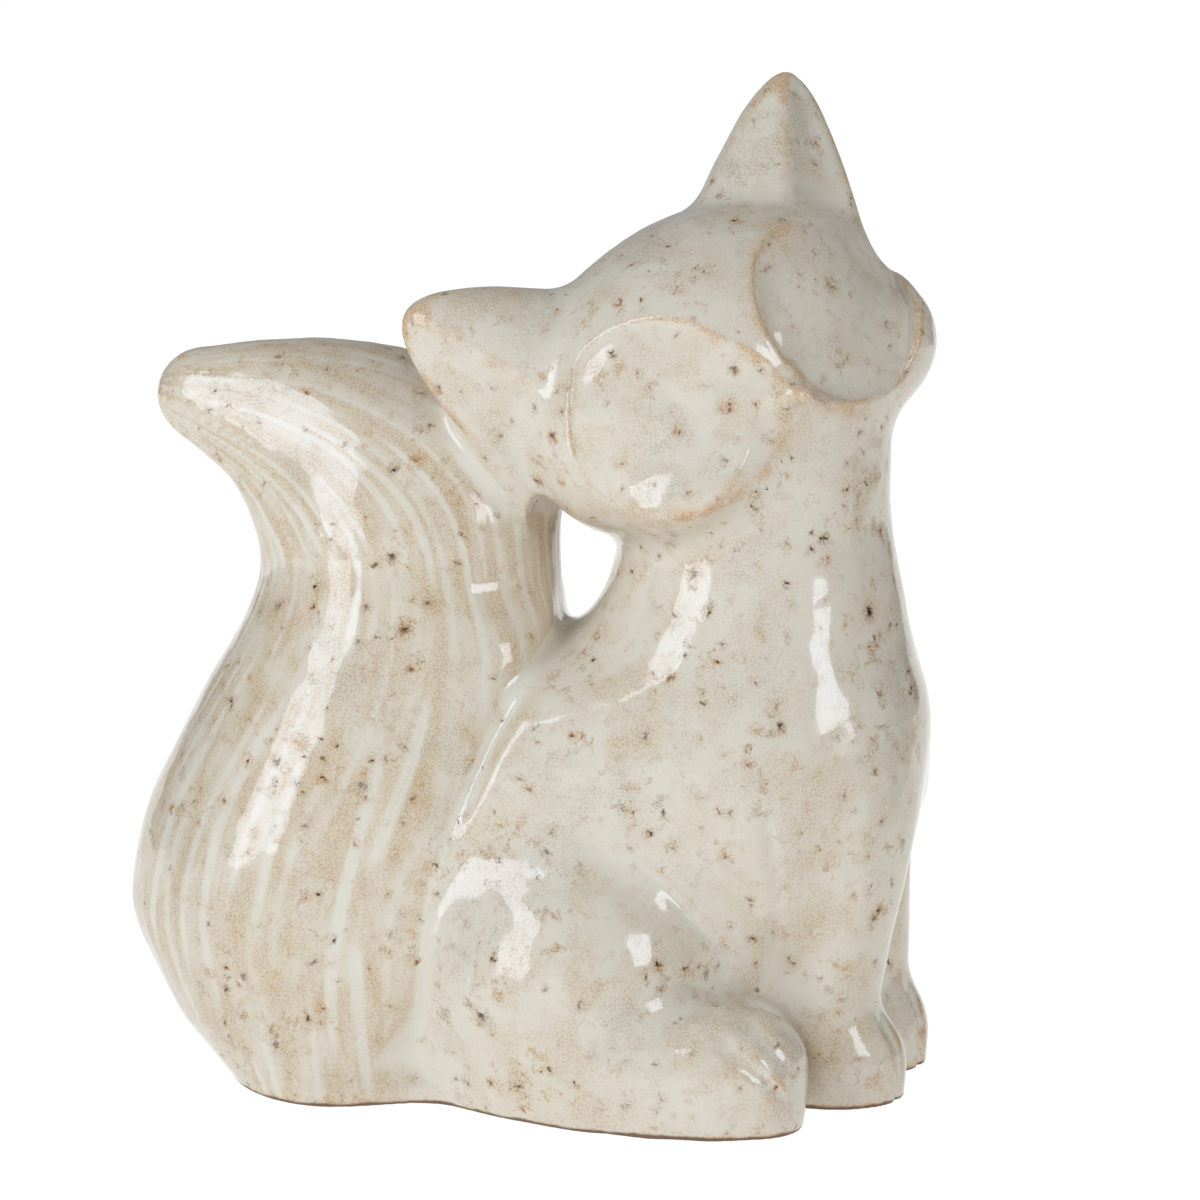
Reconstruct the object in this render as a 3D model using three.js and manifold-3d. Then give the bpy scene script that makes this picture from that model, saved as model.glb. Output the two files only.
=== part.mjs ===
// Seated fox figurine in glazed stoneware, its parts cast apart and joined, on four felt pads.
// Millimetres. +X is the fox's front, +Y its left flank and +Z is up.
// The origin is under the middle of the figurine's box, on the surface that it stands on.

import * as THREE from "three";
import { ParametricGeometry } from "three/addons/geometries/ParametricGeometry.js";
import { mergeVertices } from "three/addons/utils/BufferGeometryUtils.js";
import Module from "manifold-3d";

const wasm = await Module();
wasm.setup();

// Castings
const WALL = 5.5;
const JOINT = 0.3;
const POUR_HOLE = 24;
const VENT_HOLE = 12;

// Trunk, from the base to the rim of the neck
const TRUNK_HEIGHT = 128;
const TRUNK_LENGTH = 88;
const TRUNK_WIDTH = 72;
const TRUNK_X = 24;
const NECK_LENGTH = 55;
const NECK_WIDTH = 47;
const RIM_SLOPE = 20;
const RIM_RISE = 14;

// Haunches and hind feet
const HAUNCH_LENGTH = 70;
const HAUNCH_HEIGHT = 61;
const HAUNCH_WIDTH = 52;
const HAUNCH_SPREAD = 42;
const HAUNCH_BACK = 17;
const HIND_FOOT_REACH = 31;
const HIND_FOOT_LENGTH = 46;
const HIND_FOOT_WIDTH = 22;
const HIND_FOOT_SPREAD = 75;
const HEEL_IN = 4;

// Forelegs, of which the left one stands a little in front
const LEG_WIDTH = 23;
const LEG_SPREAD = 25;
const LEG_TOP = 72;
const LEG_FORWARD = 34;
const PAW_FORWARD = 38;
const PAW_LENGTH = 23;
const PAW_HEIGHT = 17.5;
const LEFT_PAW_LEAD = 4.5;

// Tail
const TAIL_LENGTH = 77;
const TAIL_WIDTH = 71;
const TAIL_X = -40.5;
const TAIL_SWEEP = 26;
const TAIL_TIP_WIDTH = 17;
const TAIL_OVER_HEAD_CENTRE = 4;

// Head, which is turned to the fox's right, lifted a little and tilted to its right
const HEAD_DEPTH = 60;
const HEAD_WIDTH = 81;
const HEAD_HEIGHT = 57.6;
const HEAD_TURN = 58;
const HEAD_LIFT = 8.5;
const HEAD_TILT = 26;
const HEAD_FORWARD = 9.7;
const HEAD_OVER_NECK = 14.4;
const CHEEK_FULLNESS = 3.6;
const SNOUT_REACH = 38;
const SNOUT_TIP = 9.5;
const NOSE_DROP = 7.5;
const NOSE_SIZE = 6.5;

// Dished cheeks
const DISH_DEPTH = 1.5;
const DISH_ROUND = 17.6;
const DISH_POINT = 1.8;
const DISH_APART = 37.4;
const DISH_RISE = 0.3;

// Ears
const EAR_LENGTH = 31;
const EAR_WIDTH = 36;
const EAR_TIP_WIDTH = 13;
const EAR_LEAN = 34;
const EAR_BACK = 4;
const EAR_RISE = 14;
const EARS_APART = 58;
const EAR_SCOOP = 3;

// Felt pads
const PAD_THICKNESS = 1;
const PAD_WIDTH = 12;
const FRONT_PADS_APART = 72;
const REAR_PADS_APART = 34;
const REAR_PADS_BACK = 4;

// A hollow's surface has half the steps of an outside, and FAR is past everything.
const FAR = 400;
const COARSE = 0.5;
const RIGHT = -1;
const LEFT = 1;

// A closed mesh as a solid: shared corners merged, and faces without area dropped.
function solid(geometry) {
  const bare = geometry.clone();
  bare.deleteAttribute("normal");
  bare.deleteAttribute("uv");
  const merged = mergeVertices(bare, 1e-4);
  const index = merged.index.array;
  const kept = [];
  for (let i = 0; i < index.length; i += 3) {
    const [a, b, c] = [index[i], index[i + 1], index[i + 2]];
    if (a !== b && b !== c && c !== a) {
      kept.push(a, b, c);
    }
  }
  const mesh = new wasm.Mesh({
    numProp: 3,
    vertProperties: new Float32Array(merged.attributes.position.array),
    triVerts: new Uint32Array(kept),
  });
  return new wasm.Manifold(mesh);
}

// The geometry of a solid, with flat faces.
function geometryOf(body) {
  const mesh = body.getMesh();
  const geometry = new THREE.BufferGeometry();
  geometry.setAttribute("position", new THREE.BufferAttribute(new Float32Array(mesh.vertProperties), 3));
  geometry.setIndex(new THREE.BufferAttribute(new Uint32Array(mesh.triVerts), 1));
  geometry.computeVertexNormals();
  return geometry;
}

// A closed body along a smooth path of stations.
// A station has its centre, its half size in the plane of the path and its half size across.
// Either end is flat, or a dome as deep as its half size. Level rings stay horizontal on a leaning path.
function loft(stations, { grow = 0, sides, steps, startDome = 0, endDome = 0, level = false, fine = 1 }) {
  const around = Math.round(sides * fine);
  const along = Math.round(steps * fine);
  const path = new THREE.CatmullRomCurve3(stations.map((s) => new THREE.Vector3(s.x, s.y ?? 0, s.z)));
  const sizes = new THREE.CatmullRomCurve3(stations.map((s) => new THREE.Vector3(s.half, s.across, 0)));
  const rings = [];
  const addRing = (t, share, ahead) => {
    const tangent = level ? new THREE.Vector3(0, 0, 1) : path.getTangent(t).setY(0).normalize();
    const size = sizes.getPoint(t);
    rings.push({
      centre: path.getPoint(t).addScaledVector(tangent, ahead),
      out: new THREE.Vector3(tangent.z, 0, -tangent.x).multiplyScalar((size.x + grow) * share),
      across: (size.y + grow) * share,
    });
  };
  const addDome = (t, count, sign) => {
    const depth = sizes.getPoint(t).x + grow;
    for (let i = 0; i <= count; i += 1) {
      const angle = (sign < 0 ? count - i : i) * (Math.PI / 2 / count);
      addRing(t, Math.cos(angle), sign * depth * Math.sin(angle));
    }
  };
  if (startDome > 0) {
    addDome(0, startDome, -1);
  } else {
    addRing(0, 0, -grow);
    addRing(0, 1, -grow);
  }
  for (let i = 1; i < along; i += 1) {
    addRing(i / along, 1, 0);
  }
  if (endDome > 0) {
    addDome(1, endDome, 1);
  } else {
    addRing(1, 1, grow);
    addRing(1, 0, grow);
  }
  const surface = (u, v, target) => {
    const ring = rings[Math.round(v * (rings.length - 1))];
    const angle = (Math.round(u * around) % around) * ((2 * Math.PI) / around);
    target.copy(ring.centre).addScaledVector(ring.out, Math.cos(angle));
    target.y += ring.across * Math.sin(angle);
  };
  return solid(new ParametricGeometry(surface, around, rings.length - 1));
}

// An egg with its centre and its three half sizes.
function egg(centre, halves, grow, rows) {
  const ball = new THREE.SphereGeometry(1, rows * 2, rows);
  ball.rotateX(Math.PI / 2);
  ball.scale(halves[0] + grow, halves[1] + grow, halves[2] + grow);
  ball.translate(...centre);
  return solid(ball);
}

// An upright round bar from one height to another.
function bar(x, y, width, low, high, sides = 32) {
  const cylinder = new THREE.CylinderGeometry(width / 2, width / 2, high - low, sides);
  cylinder.rotateX(Math.PI / 2);
  cylinder.translate(x, y, (low + high) / 2);
  return solid(cylinder);
}

// All the space below a height.
function below(height) {
  const block = new THREE.BoxGeometry(2 * FAR, 2 * FAR, FAR);
  block.translate(0, 0, height - FAR / 2);
  return solid(block);
}

function together(bodies) {
  return bodies.reduce((sum, body) => sum.add(body));
}

function placed(body, matrix) {
  return body.transform([...matrix.elements]);
}

// The trunk's stations: height, centre and front-to-back size, and width as shares of its own sizes.
const trunkShape = [
  { high: 0, lean: 0, long: 0.955, wide: 0.95 },
  { high: 0.23, lean: 0, long: 1, wide: 1 },
  { high: 0.385, lean: 0.07, long: 0.978, wide: 1 },
  { high: 0.538, lean: 0.148, long: 0.92, wide: 0.92 },
];
const neckShape = [
  { high: 0.654, lean: 16.5, long: 1.34, wide: 1.3 },
  { high: 0.7, lean: 19, long: 1.19, wide: 1.22 },
  { high: 0.745, lean: 21, long: 1.06, wide: 1.14 },
  { high: 0.85, lean: 20.5, long: 0.98, wide: 1.04 },
  { high: 1, lean: 18.5, long: 1, wide: 1 },
];

function trunkStations() {
  const lower = trunkShape.map((s) => ({
    x: TRUNK_X + s.lean * TRUNK_LENGTH,
    z: s.high * TRUNK_HEIGHT,
    half: (s.long * TRUNK_LENGTH) / 2,
    across: (s.wide * TRUNK_WIDTH) / 2,
  }));
  const upper = neckShape.map((s) => ({
    x: TRUNK_X + s.lean,
    z: s.high * TRUNK_HEIGHT + (s.high === 1 ? RIM_RISE : 0),
    half: (s.long * NECK_LENGTH) / 2,
    across: (s.wide * NECK_WIDTH) / 2,
  }));
  return [...lower, ...upper];
}

function trunkForm(grow, fine = 1) {
  return loft(trunkStations(), { grow, sides: 28, steps: 16, level: true, fine });
}

// All the space above the neck's rim, which rises to the front with the head's underside.
function aboveRim(grow) {
  const block = new THREE.BoxGeometry(FAR, FAR, FAR);
  block.translate(0, 0, FAR / 2 + grow);
  block.rotateY(THREE.MathUtils.degToRad(-RIM_SLOPE));
  block.translate(TRUNK_X + neckShape.at(-1).lean, 0, TRUNK_HEIGHT);
  return solid(block);
}

// A haunch is an egg that the base cuts off below its middle.
function haunchForm(side, grow, fine = 1) {
  const middle = 0.44;
  const centre = [TRUNK_X - HAUNCH_BACK, (side * HAUNCH_SPREAD) / 2, HAUNCH_HEIGHT * middle];
  const halves = [HAUNCH_LENGTH / 2, HAUNCH_WIDTH / 2, HAUNCH_HEIGHT * (1 - middle)];
  return egg(centre, halves, grow, Math.round(9 * fine));
}

function hindFootForm(side, grow) {
  const half = HIND_FOOT_WIDTH / 2;
  const y = (side * HIND_FOOT_SPREAD) / 2;
  const toe = TRUNK_X + HIND_FOOT_REACH - half;
  const heel = half * 1.23;
  const ball = half * 0.86;
  const stations = [
    { x: toe - HIND_FOOT_LENGTH, y: y - side * HEEL_IN, z: half * 0.91, half: heel, across: heel },
    { x: toe - half * 0.82, y, z: half * 0.73, half, across: half },
    { x: toe + half * 0.14, y: y - side, z: half * 0.59, half: ball, across: ball },
  ];
  return loft(stations, { grow, sides: 14, steps: 4, startDome: 3, endDome: 3 });
}

function legLead(side) {
  return side === LEFT ? LEFT_PAW_LEAD : 0;
}

function foreLegForm(side, grow) {
  const half = LEG_WIDTH / 2;
  const x = TRUNK_X + LEG_FORWARD + legLead(side);
  const y = (side * LEG_SPREAD) / 2;
  const wrist = half * 0.9;
  const shoulder = half * 1.2;
  const stations = [
    { x: x + 1, y, z: wrist, half: wrist, across: wrist },
    { x: x - 1, y, z: LEG_TOP * 0.55, half, across: half },
    { x: x - 1.5, y: y * 0.9, z: LEG_TOP, half: shoulder, across: shoulder },
  ];
  return loft(stations, { grow, sides: 14, steps: 6, startDome: 2, endDome: 3, level: true });
}

function pawForm(side, grow) {
  const middle = 0.4;
  const centre = [TRUNK_X + PAW_FORWARD + legLead(side), (side * LEG_SPREAD) / 2, PAW_HEIGHT * middle];
  const halves = [PAW_LENGTH / 2, LEG_WIDTH * 0.48, PAW_HEIGHT * (1 - middle)];
  return egg(centre, halves, grow, 7);
}

// The outside of the torso casting: trunk, haunches, hind feet and forelegs.
function torsoForm(grow) {
  const bodies = [trunkForm(grow)];
  for (const side of [RIGHT, LEFT]) {
    bodies.push(haunchForm(side, grow));
    bodies.push(hindFootForm(side, grow));
    bodies.push(foreLegForm(side, grow));
    bodies.push(pawForm(side, grow));
  }
  return together(bodies).subtract(below(0)).subtract(aboveRim(grow));
}

// The neck's open end, which carries the hollow out through the rim.
function neckMouth() {
  const mouth = trunkStations().slice(-2);
  return loft(mouth, { grow: -WALL, sides: 14, steps: 2, level: true });
}

// The torso is hollow in the trunk and haunches; its legs and feet fill up in the mould.
function torso() {
  const hollow = together([
    trunkForm(-WALL, COARSE).add(neckMouth()),
    haunchForm(RIGHT, -WALL, COARSE),
    haunchForm(LEFT, -WALL, COARSE),
  ]).subtract(below(WALL));
  const hole = bar(TRUNK_X, 0, POUR_HOLE, -WALL, 2 * WALL);
  return torsoForm(0).subtract(hollow).subtract(hole);
}

// Where the head sits, and which way it faces.
const headCentre = new THREE.Vector3(TRUNK_X + HEAD_FORWARD, 0, TRUNK_HEIGHT + HEAD_OVER_NECK);
const headFacing = new THREE.Euler(
  THREE.MathUtils.degToRad(HEAD_TILT),
  THREE.MathUtils.degToRad(-HEAD_LIFT),
  THREE.MathUtils.degToRad(-HEAD_TURN),
  "ZYX",
);
const headPlace = new THREE.Matrix4().makeRotationFromEuler(headFacing).setPosition(headCentre);

// The skull: an egg above, and fuller cheeks below, where a higher power squares the section.
function skullForm(grow, rows) {
  const ball = new THREE.SphereGeometry(1, rows * 2, rows);
  ball.rotateX(Math.PI / 2);
  const spots = ball.attributes.position;
  const spot = new THREE.Vector3();
  for (let i = 0; i < spots.count; i += 1) {
    spot.fromBufferAttribute(spots, i);
    const low = THREE.MathUtils.smoothstep(-spot.z, -0.2, 0.5);
    const power = THREE.MathUtils.lerp(2, CHEEK_FULLNESS, low);
    const sum = Math.abs(spot.y) ** power + Math.abs(spot.z) ** power;
    const round = Math.hypot(spot.y, spot.z);
    const fuller = round > 0.01 ? round / sum ** (1 / power) : 1;
    spots.setXYZ(i, spot.x, spot.y * fuller, spot.z * fuller);
  }
  ball.scale(HEAD_DEPTH / 2 + grow, HEAD_WIDTH / 2 + grow, HEAD_HEIGHT / 2 + grow);
  return solid(ball);
}

// The head in its own frame: +X to the nose, +Y to its left cheek and +Z to the crown.
function headForm(grow) {
  const tip = SNOUT_TIP / 2;
  const snoutStations = [
    { x: 6, z: -4, half: HEAD_HEIGHT * 0.4, across: HEAD_WIDTH * 0.31 },
    { x: SNOUT_REACH * 0.55, z: -5, half: HEAD_HEIGHT * 0.3, across: HEAD_WIDTH * 0.2 },
    { x: SNOUT_REACH - tip, z: -NOSE_DROP, half: tip, across: tip },
  ];
  const snout = loft(snoutStations, { grow, sides: 18, steps: 6, endDome: 3 });
  return skullForm(grow, 13).add(snout);
}

function nose() {
  const half = NOSE_SIZE / 2;
  return egg([SNOUT_REACH - half, 0, -NOSE_DROP], [half, half, half * 0.8], 0, 6);
}

// A teardrop outline: a large round at the cheek and a small one at the nose, joined by tangents.
function dishOutline(side) {
  const cheek = new THREE.Vector2((side * DISH_APART) / 2, DISH_RISE);
  const point = new THREE.Vector2(side * DISH_POINT, -NOSE_DROP);
  const run = point.clone().sub(cheek);
  const turn = Math.acos((DISH_ROUND - DISH_POINT) / run.length());
  const ahead = run.angle();
  const shape = new THREE.Shape();
  shape.absarc(cheek.x, cheek.y, DISH_ROUND, ahead + turn, ahead - turn + 2 * Math.PI, false);
  shape.absarc(point.x, point.y, DISH_POINT, ahead - turn, ahead + turn, false);
  return shape;
}

// What a dished cheek takes away: the skin of the head inside the teardrop, one dish deep.
function dishes(core) {
  const cuts = [RIGHT, LEFT].map((side) => {
    const straight = { depth: FAR, bevelEnabled: false, curveSegments: 9 };
    const prism = new THREE.ExtrudeGeometry(dishOutline(side), straight);
    // The outline lies across the head, so its two axes become the head's left and up.
    const upright = new THREE.Matrix4().set(0, 0, 1, 0, 1, 0, 0, 0, 0, 1, 0, 0, 0, 0, 0, 1);
    prism.applyMatrix4(upright);
    return solid(prism);
  });
  return together(cuts).subtract(core);
}

function head(trunk) {
  const outside = headForm(0).subtract(dishes(headForm(-DISH_DEPTH))).add(nose());
  const inside = skullForm(-WALL - DISH_DEPTH, 7);
  return placed(outside.subtract(inside), headPlace).subtract(trunk);
}

// An ear leans out from the crown, round at its tip, with a shallow scoop in its front.
function earForm(side, grow) {
  const lean = THREE.MathUtils.degToRad(EAR_LEAN);
  const along = new THREE.Vector3(0, side * Math.sin(lean), Math.cos(lean));
  const root = new THREE.Vector3(-EAR_BACK, (side * EARS_APART) / 2, EAR_RISE);
  const tipHalf = EAR_TIP_WIDTH / 2;
  const crest = EAR_LENGTH - tipHalf;
  const upright = [
    { x: 0, z: 0, half: EAR_WIDTH * 0.38, across: EAR_WIDTH * 0.49 },
    { x: 0, z: crest * 0.4, half: EAR_WIDTH * 0.28, across: EAR_WIDTH * 0.38 },
    { x: 0.5, z: crest * 0.75, half: EAR_WIDTH * 0.2, across: EAR_WIDTH * 0.28 },
    { x: 1, z: crest, half: tipHalf * 0.8, across: tipHalf },
  ];
  const hollow = [
    { x: EAR_WIDTH * 0.5, z: 4, half: EAR_WIDTH * 0.25, across: EAR_WIDTH * 0.36 },
    { x: EAR_WIDTH * 0.31, z: crest * 0.6, half: EAR_WIDTH * 0.12, across: EAR_WIDTH * 0.22 },
    { x: tipHalf + EAR_SCOOP, z: crest - 1, half: EAR_SCOOP, across: EAR_SCOOP },
  ];
  const cone = loft(upright, { grow, sides: 16, steps: 6, startDome: 3, endDome: 3 });
  const scoop = loft(hollow, { grow: -grow, sides: 12, steps: 3, startDome: 2, endDome: 2 });
  const tilt = new THREE.Quaternion().setFromUnitVectors(new THREE.Vector3(0, 0, 1), along);
  const place = new THREE.Matrix4().makeRotationFromQuaternion(tilt).setPosition(root);
  return placed(placed(cone.subtract(scoop), place), headPlace);
}

// The tail's height follows the head, because its top carries the right ear.
const tailTop = headCentre.z + TAIL_OVER_HEAD_CENTRE;
const tailShape = [
  { high: 0, back: -2.5, long: 0.69, wide: 0.89 },
  { high: 0.095, back: -0.5, long: 0.87, wide: 0.96 },
  { high: 0.2, back: 1, long: 0.975, wide: 1 },
  { high: 0.355, back: -2, long: 1, wide: 0.985 },
  { high: 0.52, back: -9.5, long: 0.896, wide: 0.9 },
  { high: 0.67, back: -15.5, long: 0.766, wide: 0.84 },
  { high: 0.765, back: -17, long: 0.74, wide: 0.77 },
];

// The outside of the tail: an upright brush, and the tip that it sweeps back to.
function tailForm(grow, fine = 1) {
  const brush = tailShape.map((s) => ({
    x: TAIL_X - s.back,
    z: s.high * tailTop,
    half: (s.long * TAIL_LENGTH) / 2,
    across: (s.wide * TAIL_WIDTH) / 2,
  }));
  const tipHalf = TAIL_TIP_WIDTH / 2;
  const sweep = [
    { x: TAIL_X + 19, z: tailTop * 0.7, half: TAIL_LENGTH * 0.34, across: TAIL_WIDTH * 0.36 },
    { x: TAIL_X + 7, z: tailTop * 0.82, half: TAIL_LENGTH * 0.3, across: TAIL_WIDTH * 0.33 },
    { x: TAIL_X - 9.5, z: tailTop * 0.885, half: TAIL_LENGTH * 0.195, across: TAIL_WIDTH * 0.235 },
    { x: TAIL_X - TAIL_SWEEP, z: tailTop * 0.913, half: tipHalf, across: tipHalf },
  ];
  const upright = loft(brush, { grow, sides: 28, steps: 12, endDome: 5, level: true, fine });
  const tip = loft(sweep, { grow, sides: 20, steps: 7, startDome: 3, endDome: 4, fine });
  return upright.add(tip).subtract(below(0));
}

// The tail is a shell of its own, closed towards the torso, with a vent in its base.
function tail(torsoOut, headAndEar) {
  const hollow = tailForm(-WALL, COARSE).subtract(trunkForm(WALL + JOINT, COARSE)).subtract(below(WALL));
  const kept = hollow.subtract(headAndEar(WALL + JOINT)).subtract(haunchForm(RIGHT, WALL + JOINT, COARSE));
  const room = kept.subtract(haunchForm(LEFT, WALL + JOINT, COARSE));
  const vent = bar(TAIL_X, 0, VENT_HOLE, -WALL, 2 * WALL, 24);
  return tailForm(0).subtract(torsoOut).subtract(headAndEar(JOINT)).subtract(room).subtract(vent);
}

function pad(x, y) {
  return bar(x, y, PAD_WIDTH, -PAD_THICKNESS, 0);
}

const glaze = { color: 0xdbd3c4, roughness: 0.16, metalness: 0 };
const felt = { color: 0x4a4038, roughness: 1, metalness: 0 };
const fox = new THREE.Group();

function addPart(name, body, finish) {
  const mesh = new THREE.Mesh(geometryOf(body), new THREE.MeshStandardMaterial(finish));
  mesh.name = name;
  fox.add(mesh);
}

const torsoOut = torsoForm(JOINT);
const headOut = (grow) => placed(headForm(grow), headPlace);
addPart("torso", torso(), glaze);
addPart("head", head(torsoOut), glaze);
for (const [side, name] of [[RIGHT, "right_ear"], [LEFT, "left_ear"]]) {
  addPart(name, earForm(side, 0).subtract(headOut(JOINT)), glaze);
}
addPart("tail", tail(torsoOut, (grow) => headOut(grow).add(earForm(RIGHT, grow))), glaze);

// Two pads go under the hind feet and two under the tail.
const frontPadsX = TRUNK_X + HIND_FOOT_REACH - HIND_FOOT_WIDTH;
const rearPadsX = TAIL_X - REAR_PADS_BACK;
for (const [side, name] of [[RIGHT, "right"], [LEFT, "left"]]) {
  addPart(`front_${name}_pad`, pad(frontPadsX, (side * FRONT_PADS_APART) / 2), felt);
  addPart(`rear_${name}_pad`, pad(rearPadsX, (side * REAR_PADS_APART) / 2), felt);
}

// The middle of the figurine's box goes over the origin, and the pads stand on it.
const box = new THREE.Box3().setFromObject(fox);
const middle = box.getCenter(new THREE.Vector3());
fox.position.set(-middle.x, -middle.y, PAD_THICKNESS);

export default fox;
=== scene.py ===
"""Looks of a seated fox in glazed stoneware, in millimetres in the fox's own frame, with the base at
height 0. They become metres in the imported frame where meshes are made."""

import bpy
import numpy as np
from mathutils import Matrix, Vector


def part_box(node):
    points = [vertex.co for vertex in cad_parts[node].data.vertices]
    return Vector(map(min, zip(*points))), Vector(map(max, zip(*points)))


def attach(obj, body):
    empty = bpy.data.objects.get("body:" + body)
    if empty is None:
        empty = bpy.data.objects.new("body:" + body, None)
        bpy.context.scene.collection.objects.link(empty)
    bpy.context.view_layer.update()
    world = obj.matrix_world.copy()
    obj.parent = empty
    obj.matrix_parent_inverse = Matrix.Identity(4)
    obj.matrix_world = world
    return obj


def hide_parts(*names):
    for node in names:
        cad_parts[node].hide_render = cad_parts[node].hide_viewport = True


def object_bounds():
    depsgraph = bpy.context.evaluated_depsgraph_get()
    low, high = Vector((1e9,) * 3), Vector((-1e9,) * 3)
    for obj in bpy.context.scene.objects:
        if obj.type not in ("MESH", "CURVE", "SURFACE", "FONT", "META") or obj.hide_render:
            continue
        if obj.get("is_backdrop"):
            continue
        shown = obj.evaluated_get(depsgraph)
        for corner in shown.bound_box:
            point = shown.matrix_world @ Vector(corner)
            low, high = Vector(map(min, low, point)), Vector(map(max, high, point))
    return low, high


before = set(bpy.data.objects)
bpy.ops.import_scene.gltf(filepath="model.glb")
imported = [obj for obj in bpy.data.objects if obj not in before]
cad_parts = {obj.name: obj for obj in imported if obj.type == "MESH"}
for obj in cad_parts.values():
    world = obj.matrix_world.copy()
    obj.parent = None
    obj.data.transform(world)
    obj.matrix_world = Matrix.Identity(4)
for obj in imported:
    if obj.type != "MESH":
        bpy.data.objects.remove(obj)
CAD_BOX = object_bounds()

MM = 0.001
# X of the foremost toe in the fox's own frame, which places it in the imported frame
TOE_X = 77.74
TORSO_LOW, TORSO_HIGH = (np.array(corner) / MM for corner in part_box("torso"))
SHIFT = np.array([TORSO_HIGH[0] - TOE_X, 0.0, TORSO_LOW[2]])
PIECES = ("torso", "head", "right_ear", "left_ear", "tail")
PADS = ("front_right_pad", "front_left_pad", "rear_right_pad", "rear_left_pad")
SIDES = (-1, 1)

# Sculpting: the grid's cell and space, and how many cells a coarse block has. A shape is worked out
# only within REACH of itself, and is FAR away elsewhere. PROBE finds slopes, fine strokes are worked
# out within FINE_REACH of the surface, and the last two find how the surface bends.
CELL = 0.86
LOW, HIGH = np.array((-86.0, -54.0, -3.0)), np.array((84.0, 54.0, 204.0))
BLOCK = 4
FAR = 20.0
REACH = 12.0
PROBE = 0.3
FINE_REACH = 3.0
RIM_REACH, POOL_REACH = 1.5, 4.0

# A pair whose name says where, such as AHEAD, BELOW or FRONT, is where a change starts and where it is
# complete. A fillet that changes is a pair too. The right side is -1 and the left side 1.

# Trunk: level rings of height, middle, half length, half width and squareness
TRUNK = (
    (-10, 22, 42, 30, 2.2),
    (0, 22, 43, 31, 2.4),
    (30, 24, 45.5, 33, 3.0),
    (50, 28, 45.2, 34.2, 3.4),
    (65, 31.6, 45.6, 34.4, 3.2),
    (76, 35.8, 41.7, 33.2, 2.5),
    (86, 39.8, 35.2, 30.5, 2.2),
    (98, 43.4, 29.3, 27.0, 2.0),
    (112, 43.6, 26.5, 25, 2.0),
    (126, 43, 27, 24, 2.0),
    (150, 42, 28, 23, 2.0),
)
TRUNK_TOP = 138.0
TRUNK_ROUNDS = (0.75, -0.5)
BREAST_NARROWS, NARROWS_AHEAD, NARROWS_BELOW = 0.11, (25, 55), (62, 38)
# Back: height and X of the edge on either side of it, and how far out that edge is
BACK = ((0, -22), (20, -23.5), (38, -20.6), (60, -8.5), (70, -3.8), (86, 5.6), (98, 12.4), (112, 17))
BACK_OUT, BACK_TURN, BACK_EDGE = 31.0, np.radians(12.0), 3.0
BACK_LONGER, LONGER_BELOW = 1.0, (90, 72)
# What share of its depth a foot or a haunch keeps below its middle
DROP, HAUNCH_DROP = 0.4, 0.6
HAUNCH, HAUNCH_HALVES = (11.5, 18.2, 27.0), (30.0, 29.2, 28.0)
HAUNCH_FILLET, HAUNCH_FRONT = (9.5, 3.0), (8, 22)
HIND_FOOT = ((20, 36, 10, 10.5), (30, 37, 10, 11.5), (40, 37, 11, 12.0), (47, 36.5, 11.5, 11.6))
HIND_FOOT_MIDDLE = 11.0
FOOT_FILLET, FOOT_FRONT = (8.0, 3.0), (30, 42)
# Forelegs: level rings of height, middle ahead and to the side, and radius
FORELEG = {
    -1: (
        (-6, 58.0, 12.5, 11.3),
        (14, 58.2, 12.5, 11.3),
        (29, 59.4, 12.8, 12.1),
        (46, 61.3, 13.5, 14.0),
        (60, 60.5, 13.0, 14.6),
        (80, 56.0, 10.0, 13.5),
        (96, 54.0, 8.0, 12.0),
    ),
    1: (
        (-6, 62.0, 12.5, 11.1),
        (14, 62.0, 12.5, 11.1),
        (29, 61.4, 13.0, 11.8),
        (46, 60.5, 13.0, 13.2),
        (60, 60.0, 13.0, 14.6),
        (80, 56.0, 10.0, 13.5),
        (96, 54.0, 8.0, 12.0),
    ),
}
FORELEG_TOP, FORELEG_TOP_SOFT = 84.0, 8.0
FORELEG_ROOM = (30, -40, -8), (88, 40, 98)
FORELEG_FILLET, SHOULDER = (3.5, 11.5), (38, 58)
ELBOW, ELBOW_HALVES, ELBOW_FILLET = (48.5, 21.0, 53.0), (11.0, 11.5, 22.0), 8.0
PAW = {-1: (63.6, 12.5, 7), 1: (65.5, 12.5, 7)}
PAW_HALVES, PAW_FILLET = (11.6, 11.2, 11.2), 5.0

# Strokes of the modelling tool: depth, half width, and the stroke's X and Z on either flank
GROOVES = (
    (0.5, 1.3, ((49.3, 62.5), (50.6, 57.5), (51.8, 49.9), (51.9, 39.3), (48.6, 27), (47.1, 20.7))),
    (0.6, 1.3, ((20, 54.5), (30.7, 46), (38.8, 35.6), (41, 31.1), (41.4, 24.3))),
    (0.65, 1.3, ((38.5, 22.8), (47, 16), (53, 10.5), (56.4, 5.6))),
    (0.6, 1.3, ((43, 24.8), (51, 19.2), (56, 12.5), (57.6, 3))),
)
GROOVES_OUT = 15.0
TOE_APART, TOE_DEEP, TOE_WIDE = 3.7, 0.9, 1.0
TOE_AHEAD, TOE_BELOW = (1, 6), (19, 13)

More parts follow.
